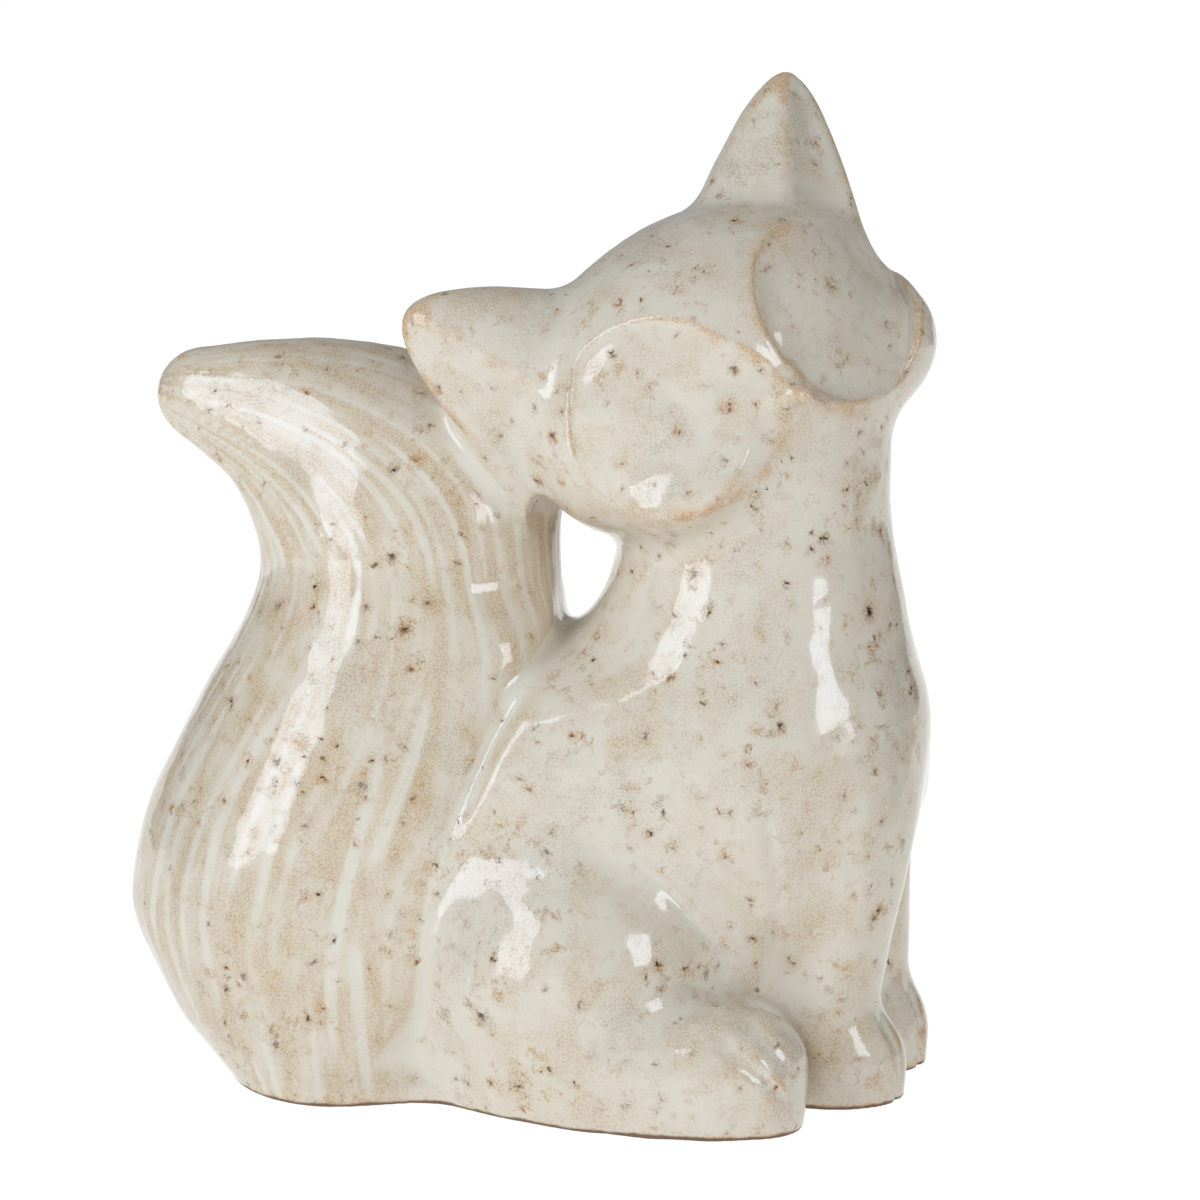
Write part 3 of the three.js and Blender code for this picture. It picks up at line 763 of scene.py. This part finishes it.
def crossings(axis, label, number, whole, parts):
    """The grid's edges along an axis whose ends differ: where each starts, where the surface crosses
    it, whether one end is outside the figurine, and what fills its start and its end."""
    step = np.eye(3, dtype=int)[axis]
    start = np.argwhere(np.not_equal(*edges(label, axis)))
    end = start + step
    ia, ib = number[tuple(start.T)], number[tuple(end.T)]
    la, lb = label[tuple(start.T)].astype(int), label[tuple(end.T)].astype(int)
    outer = (la == 0) | (lb == 0)
    pa, pb = np.maximum(la, 1) - 1, np.maximum(lb, 1) - 1
    va = np.where(outer, whole[ia], parts[pa, ia] - parts[pb, ia])
    vb = np.where(outer, whole[ib], parts[pa, ib] - parts[pb, ib])
    t = np.clip(va / (va - vb), 0.02, 0.98)
    return start, start + t[:, None] * step, outer, la, lb


def mean_places(cubes, places, outer):
    """One point for each cube: the mean of its edges' crossings, of those on the skin if it has any."""
    known, slot = np.unique(cubes, return_inverse=True)
    sums = np.zeros((2, len(known), 3))
    counts = np.zeros((2, len(known)))
    for kind in (0, 1):
        chosen = outer == bool(kind)
        counts[kind] = np.bincount(slot[chosen], minlength=len(known))
        for i in range(3):
            sums[kind, :, i] = np.bincount(slot[chosen], places[chosen, i], len(known))
    skin = counts[1] > 0
    kind, rows = skin.astype(int), np.arange(len(known))
    return known, sums[kind, rows] / counts[kind, rows][:, None], skin


def sculpt(low, high, cell):
    """Skins of all the pieces at once. Every cube whose corners differ gets one point, and every edge
    whose ends differ gets a face of the four cubes round it, once for each piece that it touches."""
    grid = fill_grid(low, high, cell)
    size = grid[0].shape
    stride = np.array((size[1] * size[2], size[2], 1))
    quads, owners, cubes, places, outers = [], [], [], [], []
    for axis in range(3):
        start, place, outer, *fills = crossings(axis, *grid)
        u, v = stride[(axis + 1) % 3], stride[(axis + 2) % 3]
        cube = start @ stride
        ring = np.stack([cube - u - v, cube - v, cube, cube - u], 1)
        for piece, way in zip(fills, (1, -1)):
            own = piece > 0
            quads.append(ring[own][:, ::way])
            owners.append(piece[own])
        cubes.append(ring.ravel())
        places.append((low + cell * place).repeat(4, 0))
        outers.append(outer.repeat(4))
    known, points, skin = mean_places(*(np.concatenate(part) for part in (cubes, places, outers)))
    return points, skin, np.searchsorted(known, np.concatenate(quads)), np.concatenate(owners)


def slope(p, reach=PROBE):
    """The fine field's slope, from four probes at a tetrahedron's corners."""
    ways = np.array(((1, 1, 1), (1, -1, -1), (-1, 1, -1), (-1, -1, 1)), float)
    total = np.zeros(p.shape)
    for way in ways:
        total += fox(p + reach * way, True)[0][:, None] * way
    return total / (4 * reach)


def settle(p):
    """Moves points onto the fine surface, and gives their normals."""
    steep = slope(p)
    scale = (steep * steep).sum(1)[:, None] + 1e-6
    for _ in range(3):
        move = -fox(p, True)[0][:, None] * steep / scale
        p = p + np.clip(move, -CELL, CELL)
    steep = slope(p)
    return p, steep / (np.linalg.norm(steep, axis=1)[:, None] + 1e-9)


def bend(p, normal, reach):
    """How much the surface bends within a reach: positive on rims, negative in creases."""
    other = np.where(np.abs(normal[:, 2:]) < 0.8, (0, 0, 1.0), (1.0, 0, 0))
    a = np.cross(normal, other)
    a /= np.linalg.norm(a, axis=1)[:, None]
    b = np.cross(normal, a)
    total = sum(fox(p + reach * way, True)[0] for way in (a, -a, b, -b))
    return total / reach**2


def to_frame(p):
    """Fox's millimetres to the frame's metres."""
    return (p + SHIFT) * MM


def make_mesh(name, points, quads, skin, normals, tints):
    """Puts a piece's points, faces, normals and tints into a mesh object. Faces on the skin are
    shaded by the surface's own normals, and walls between pieces keep the smooth normals worked out from
    their faces."""
    used, where = np.unique(quads, return_inverse=True)
    where = where.reshape(quads.shape)
    mesh = bpy.data.meshes.new(name)
    mesh.vertices.add(len(used))
    mesh.vertices.foreach_set("co", to_frame(points[used]).ravel())
    mesh.loops.add(quads.size)
    mesh.loops.foreach_set("vertex_index", where.ravel())
    mesh.polygons.add(len(quads))
    mesh.polygons.foreach_set("loop_start", np.arange(0, quads.size, 4))
    for key, values in tints.items():
        layer = mesh.attributes.new(key, "FLOAT", "POINT")
        layer.data.foreach_set("value", values[used].astype(np.float32))
    mesh.update()
    mesh.validate()
    mesh.polygons.foreach_set("use_smooth", np.ones(len(mesh.polygons), bool))
    outside = skin[quads].all(1)
    loop_normals = np.where(outside.repeat(4)[:, None], normals[quads.ravel()], 0.0)
    mesh.normals_split_custom_set(loop_normals)
    obj = bpy.data.objects.new(name, mesh)
    bpy.context.collection.objects.link(obj)
    return obj


def sculpt_pieces(glazes):
    """Sculpts the fox and parts it into its pieces, each closed where it meets the next."""
    points, skin, quads, owners = sculpt(LOW, HIGH, CELL)
    normals = np.zeros(points.shape)
    points[skin], normals[skin] = batches(points[skin], settle, 0)
    tints = {key: np.zeros(len(points)) for key in ("rim", "pool", "lip", "comb", "turn", "along")}
    p, n = points[skin], normals[skin]
    tints["rim"][skin] = bend(p, n, RIM_REACH)
    tints["pool"][skin] = bend(p, n, POOL_REACH)
    tints["lip"][skin] = lips(p)
    tints["comb"][skin] = combing(p)
    tints["turn"][skin], tints["along"][skin] = flow(p)
    pieces = {}
    for i, name in enumerate(PIECES):
        own = quads[owners == i + 1]
        piece = make_mesh(name + "_glazed", points, own, skin, normals, tints)
        piece.data.materials.append(glazes["tail" if name == "tail" else "body"])
        pieces[name] = piece
        print(name, len(own) * 2, "triangles")
    return pieces


def felt_pad(name, material):
    """A felt disc turned about its axis: a profile with rounded edges, carried round in steps."""
    low, high = (np.array(corner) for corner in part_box(name))
    middle, half = (low + high) / 2, (high - low) / 2
    corner = np.linspace(-np.pi / 2, np.pi / 2, 9)
    soft = half[2] * 0.9
    radius = np.r_[half[0] * 0.5, half[0] - soft + soft * np.cos(corner), half[0] * 0.5]
    height = np.r_[-half[2], half[2] * np.sin(corner), half[2]]
    around = np.linspace(0, 2 * np.pi, PAD_STEPS, endpoint=False)
    x, y = np.outer(radius, np.cos(around)), np.outer(radius, np.sin(around))
    rings = np.stack([x, y, np.outer(height, np.ones(PAD_STEPS))], -1)
    points = np.vstack([rings.reshape(-1, 3), (0, 0, -half[2]), (0, 0, half[2])]) + middle
    this = np.arange(PAD_STEPS)
    after = (this + 1) % PAD_STEPS
    ring = PAD_STEPS * np.arange(len(radius) - 1)[:, None]
    above = ring + PAD_STEPS
    sides = np.stack([ring + this, ring + after, above + after, above + this], -1)
    last = PAD_STEPS * (len(radius) - 1)
    low_cap = np.stack([np.full(PAD_STEPS, len(points) - 2), after, this], -1)
    high_cap = np.stack([np.full(PAD_STEPS, len(points) - 1), last + this, last + after], -1)
    mesh = bpy.data.meshes.new(name)
    mesh.from_pydata(points, [], sides.reshape(-1, 4).tolist() + low_cap.tolist() + high_cap.tolist())
    mesh.polygons.foreach_set("use_smooth", np.ones(len(mesh.polygons), bool))
    pad = bpy.data.objects.new(name + "_felt", mesh)
    bpy.context.collection.objects.link(pad)
    mesh.materials.append(material)
    return pad


class Wire:
    """A number or colour that varies over a surface. Operators on it add Math nodes."""

    def __init__(self, finish, socket):
        self.finish = finish
        self.socket = socket

    def math(self, operation, *values):
        return self.finish.node("Math", dict(enumerate(values)), operation=operation)

    def __add__(self, other):
        return self.math("ADD", self, other)

    __radd__ = __add__

    def __mul__(self, other):
        return self.math("MULTIPLY", self, other)

    __rmul__ = __mul__

    def __sub__(self, other):
        return self.math("SUBTRACT", self, other)

    def __rsub__(self, other):
        return self.math("SUBTRACT", other, self)

    def __abs__(self):
        return self.math("ABSOLUTE", self)


class Finish:
    """A material, or the world, made of nodes."""

    def __init__(self, name, world=False):
        self.owner = (bpy.data.worlds if world else bpy.data.materials).new(name)
        self.owner.use_nodes = True
        self.tree = self.owner.node_tree
        self.tree.nodes.clear()

    def node(self, kind, inputs=None, output=0, **settings):
        """Adds a node: its settings are set first, then its sockets get their values or links."""
        node = self.tree.nodes.new("ShaderNode" + kind)
        for key, value in settings.items():
            setattr(node, key, value)
        for key, value in (inputs or {}).items():
            socket = node.inputs[key]
            if isinstance(value, Wire):
                self.tree.links.new(value.socket, socket)
            elif isinstance(value, tuple) and len(value) == 3 and socket.type == "RGBA":
                socket.default_value = (*value, 1.0)
            else:
                socket.default_value = value
        return Wire(self, node.outputs[output]) if len(node.outputs) else None

    def place(self):
        return self.node("TexCoord", output="Object")

    def tint(self, name):
        """A tint stored on the piece."""
        return self.node("Attribute", output="Fac", attribute_name=name)

    def noise(self, at, size, detail=2.0, output=0):
        """Cloudy noise whose blobs are about size millimetres across."""
        inputs = {"Vector": at, "Scale": 1 / (size * MM), "Detail": detail}
        return self.node("TexNoise", inputs, output)

    def fade(self, value, low, high):
        """0 below low, 1 above high, smooth between."""
        inputs = {"Value": value, "From Min": low, "From Max": high}
        return self.node("MapRange", inputs, interpolation_type="SMOOTHSTEP")

    def patchy(self, at, size, detail, low, high):
        """Noise of a size, 0 below low and 1 above high."""
        return self.fade(self.noise(at, size, detail), low, high)

    def mix(self, a, b, factor):
        """Colour a turned to colour b by factor."""
        return self.node("Mix", {0: factor, 6: a, 7: b}, 2, data_type="RGBA")

    def astray(self, at, size, detail, far):
        """Moves a place up to about far millimetres, by noise of a size."""
        colour = self.noise(at, size, detail, "Color")
        centred = self.node("VectorMath", {0: colour, 1: (0.5, 0.5, 0.5)}, operation="SUBTRACT")
        scaled = self.node("VectorMath", {0: centred, "Scale": far * MM}, operation="SCALE")
        return self.node("VectorMath", {0: at, 1: scaled}, operation="ADD")

    def drawn_out(self, turn, along, seed, detail):
        """Noise drawn out along the brush."""
        lanes = self.node("CombineXYZ", {0: turn, 1: along, 2: seed})
        return self.node("TexNoise", {"Vector": lanes, "Scale": 1.0, "Detail": detail})

    def finish(self, shader):
        self.node("OutputMaterial", {"Surface": shader})
        return self.owner


class Glaze(Finish):
    """Reactive cream glaze. Its layers share the places and the masks that are made here."""

    def __init__(self, name):
        super().__init__(name)
        self.at = self.place()
        self.warped = self.astray(self.at, 6, 2, 5)
        self.pool = self.fade(0 - self.tint("pool"), *POOLS)
        self.stipple = self.patchy(self.at, STIPPLE, 1, 0.46, 0.62)
        self.warm = self.patchy(self.warped, 18, 3, 0.38, 0.56)
        self.crowd = self.patchy(self.warped, CROWD, 2, 0.50, 0.62)

    def grain(self, least, more):
        """A share that the stipple raises."""
        return least + more * self.stipple

    def ground(self):
        """Cream with fine stipple in clouds."""
        clouds = self.patchy(self.warped, CLOUD, 4, 0.38, 0.66)
        patches = self.patchy(self.at, PATCH, 2, 0.40, 0.62)
        dense = clouds * (0.5 + 0.5 * patches) * (1 - POOL_CLEARS * self.pool)
        stain = self.mix(SMOKE, TAN, self.warm)
        return self.mix(CREAM, stain, dense * 0.18 + self.stipple * (0.07 + 0.34 * dense))

    def smudged(self, colour):
        """Ragged smudges, crowded in places."""
        ragged = self.astray(self.at, 2.4, 4, 4.6)
        smudge = self.patchy(ragged, SMUDGE, 3, 0.55, 0.68) * (0.35 + 0.65 * self.crowd)
        smudge = smudge * (1 - POOL_CLEARS * self.pool)
        stain = self.mix(SMOKE, BROKEN, self.warm * 0.7)
        return self.mix(colour, stain, smudge * self.grain(0.26, 0.50))

    def streaked(self, colour):
        """Pale glaze in the combed strokes, with tan streaks and brown veins between them."""
        comb = self.fade(self.tint("comb"), 0.05, 0.7)
        turn, along = self.tint("turn"), self.tint("along")
        streaks = self.fade(self.drawn_out(turn * STROKES, along * 0.055, 0.0, 3.0), 0.42, 0.64)
        veins = self.fade(self.drawn_out(turn * VEINS, along * 0.10, 7.0, 2.0), 0.58, 0.72)
        ridge = (1 - comb) * (1 - self.pool)
        colour = self.mix(colour, TAN, ridge * (0.10 + streaks * self.grain(0.20, 0.34)))
        colour = self.mix(colour, BROKEN, veins * ridge * self.grain(0.10, 0.35))
        return self.mix(colour, POOLED, comb * 0.65)

    def broken(self, colour):
        """Pale where the glaze pools, and orange-brown where it breaks over rims and dishes' lips."""
        colour = self.mix(colour, POOLED, self.pool * 0.5)
        rim = self.fade(self.tint("rim"), *RIMS)
        rim = rim * self.patchy(self.at, 6, 4, 0.36, 0.56)
        colour = self.mix(colour, BROKEN, rim * self.grain(0.35, 0.55))
        lip = self.tint("lip") * self.patchy(self.at, 4, 4, 0.34, 0.56)
        return self.mix(colour, BROKEN, lip * self.grain(0.4, 0.45))

    def spotted(self, colour):
        """Iron spots at the middles of scattered cells, with dark or rusty fringes and halos."""
        frayed = self.astray(self.at, 1.9, 4, 3.4)
        twigs = 1 - self.fade(abs(self.noise(self.at, 1.9, 3) - 0.5), 0.0, 0.04)
        for size, rare, spot in SPOTS:
            cells = {"Vector": frayed, "Scale": 1 / (size * MM)}
            far = self.node("TexVoronoi", cells, "Distance")
            dice = {0: self.node("TexVoronoi", cells, "Color")}
            first, second = (self.node("SeparateColor", dice, i) for i in (0, 1))
            chosen = self.fade(first + 0.22 * self.crowd, rare + 0.08, rare + 0.18)
            chosen = chosen * (0.45 + 0.55 * self.crowd) * (1 - 0.5 * self.pool)
            rusty = self.fade(second, 0.55, 0.65)
            halo = 1 - self.fade(far, spot, spot * 6)
            fringe = 1 - self.fade(far, spot * 0.8, spot * 2.6)
            core = 1 - self.fade(far, spot * 0.7, spot * 1.5)
            stain = chosen * halo * self.grain(0.26, 0.50)
            ragged = chosen * (fringe * self.grain(0.35, 0.4) + halo * twigs * 0.6)
            colour = self.mix(colour, self.mix(TAN, BROKEN, rusty), stain)
            colour = self.mix(colour, self.mix(CHAR, RUST, rusty), ragged)
            colour = self.mix(colour, IRON, chosen * core)
        return colour

    def foot(self):
        """Where the clay is bare, low on the foot."""
        height = self.node("SeparateXYZ", {0: self.at}, 2)
        wavy = height - FOOT_WAVES * MM * (self.noise(self.at, 4, 3) - 0.5)
        low = (SHIFT[2] + FOOT_HEIGHT) * MM
        return 1 - self.fade(wavy, low, low + FOOT_SOFT * MM)

    def peel(self):
        """The coat's slight orange peel, as a normal."""
        wide = self.noise(self.at, 9, 1) * 1.4 + self.noise(self.at, 4.5, 1) * 0.6
        height = wide + self.noise(self.at, 2.0, 1) * 0.12 + 0.03 * self.stipple
        inputs = {"Strength": 1.0, "Distance": PEEL * MM, "Height": height}
        return self.node("Bump", inputs)


def glaze(name, combed):
    """Reactive cream glaze: fine stipple in clouds, ragged iron spots with rusty halos, orange-brown
    where it breaks over rims, clean and pale where it pools, bare clay at the foot."""
    g = Glaze(name)
    colour = g.smudged(g.ground())
    if combed:
        colour = g.streaked(colour)
    bare = g.foot()
    inputs = {
        "Base Color": g.mix(g.spotted(g.broken(colour)), CLAY, bare),
        "Roughness": GLAZE_ROUGH + CLAY_ROUGHER * bare,
        "IOR": GLAZE_IOR,
        "Normal": g.peel(),
    }
    return g.finish(g.node("BsdfPrincipled", inputs))


def felt():
    """Short matt pile."""
    f = Finish("brown_felt")
    at = f.place()
    pile = f.noise(at, 0.35, 4)
    colour = f.mix(FELT_DARK, FELT_LIGHT, f.fade(pile, 0.35, 0.65))
    normal = f.node("Bump", {"Strength": 0.8, "Distance": 0.3 * MM, "Height": pile})
    inputs = {"Base Color": colour, "Roughness": 0.95, "Sheen Weight": 0.4, "Normal": normal}
    return f.finish(f.node("BsdfPrincipled", inputs))


def camera_axes():
    """Right, up and back of the photograph's camera."""
    turn, rise = CAMERA_TURN, CAMERA_RISE
    right = np.array([np.cos(turn), np.sin(turn), 0.0])
    back = np.array([right[1] * np.cos(rise), -right[0] * np.cos(rise), np.sin(rise)])
    return right, np.cross(back, right), back


def placed(obj, away, direction):
    """Stands an object away from the aim, in a direction, looking at the aim."""
    back = direction / np.linalg.norm(direction)
    right = np.cross([0, 0, 1.0], back)
    right /= np.linalg.norm(right)
    stand = np.eye(4)
    stand[:3] = np.column_stack([right, np.cross(back, right), back, to_frame(AIM) + away * back])
    obj.matrix_world = Matrix(stand.tolist())
    bpy.context.collection.objects.link(obj)
    return obj


def make_camera():
    data = bpy.data.cameras.new("camera")
    data.sensor_width = 36.0
    data.lens = PIXELS_PER_MM * CAMERA_AWAY / PICTURE * data.sensor_width
    data.clip_start, data.clip_end = 0.05, 20.0
    camera = placed(bpy.data.objects.new("camera", data), CAMERA_AWAY * MM, camera_axes()[2])
    bpy.context.scene.camera = camera


def make_lamps():
    right, up, back = camera_axes()
    for name, azimuth, elevation, wide, high, glow in SOFTBOXES:
        a, e = np.radians(azimuth), np.radians(elevation)
        way = np.sin(a) * np.cos(e) * right + np.sin(e) * up + np.cos(a) * np.cos(e) * back
        data = bpy.data.lights.new(name, "AREA")
        data.shape = "RECTANGLE"
        data.size, data.size_y = wide, high
        data.energy = glow * np.pi * wide * high
        data.color = LAMP_COLOUR
        placed(bpy.data.objects.new(name, data), LAMP_AWAY, way)


def make_world():
    """White to the camera, and a plain soft light elsewhere that is a little brighter in reflections."""
    f = Finish("white_room", True)
    seen = f.node("LightPath", output="Is Camera Ray")
    mirrored = f.node("LightPath", output="Is Glossy Ray")
    plain = {"Value": mirrored, "To Min": ROOM_GLOW, "To Max": ROOM_MIRRORED}
    strength = seen.math("MAXIMUM", seen, f.node("MapRange", plain))
    glow = f.node("Background", {"Strength": strength})
    f.node("OutputWorld", {"Surface": glow})
    bpy.context.scene.world = f.owner


def card(name, half_x, half_y, material):
    """A flat rectangle."""
    x, y = half_x, half_y
    mesh = bpy.data.meshes.new(name)
    mesh.from_pydata([(-x, -y, 0), (x, -y, 0), (x, y, 0), (-x, y, 0)], [], [(0, 1, 2, 3)])
    mesh.materials.append(material)
    return bpy.data.objects.new(name, mesh)


def make_boards():
    """Two dark boards beside and behind the fox, out of the picture, which darken its outline."""
    right, _, back = camera_axes()
    f = Finish("dark_board")
    dark = f.finish(f.node("BsdfDiffuse", {"Color": BOARD_COLOUR}))
    for azimuth in BOARDS:
        a = np.radians(azimuth)
        way = np.sin(a) * right + np.cos(a) * back
        board = placed(card("board", *BOARD_HALVES, dark), BOARD_AWAY, way)
        board.visible_camera = False
        board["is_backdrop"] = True


def make_floor():
    """White floor that keeps a soft shadow."""
    f = Finish("white_floor")
    paper = f.node("BsdfDiffuse", {"Color": FLOOR_PAPER})
    white = f.node("Emission", {"Color": (1, 1, 1), "Strength": FLOOR_GLOW})
    seen = f.node("LightPath", output="Is Camera Ray")
    mirrored = f.node("LightPath", output="Is Glossy Ray")
    through = f.node("LightPath", output="Is Transmission Ray")
    direct = seen.math("MAXIMUM", seen, seen.math("MAXIMUM", mirrored, through))
    shares = {0: FLOOR_WHITE + direct * FLOOR_WHITER, 1: paper, 2: white}
    shader = f.node("MixShader", shares)
    floor = card("floor", FLOOR_HALF, FLOOR_HALF, f.finish(shader))
    bpy.context.collection.objects.link(floor)
    floor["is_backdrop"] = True


def main():
    bpy.context.scene.view_settings.view_transform = "Standard"
    make_camera()
    make_lamps()
    make_world()
    make_floor()
    make_boards()
    glazes = {"body": glaze("cream_glaze", False), "tail": glaze("combed_glaze", True)}
    for name, piece in sculpt_pieces(glazes).items():
        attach(piece, "root")
        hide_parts(name)
    cloth = felt()
    for name in PADS:
        pad = felt_pad(name, cloth)
        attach(pad, "root")
        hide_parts(name)


main()
sizes = {"cad": CAD_BOX, "visual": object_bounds()}
{key: [[float(v) for v in corner] for corner in box] for key, box in sizes.items()}
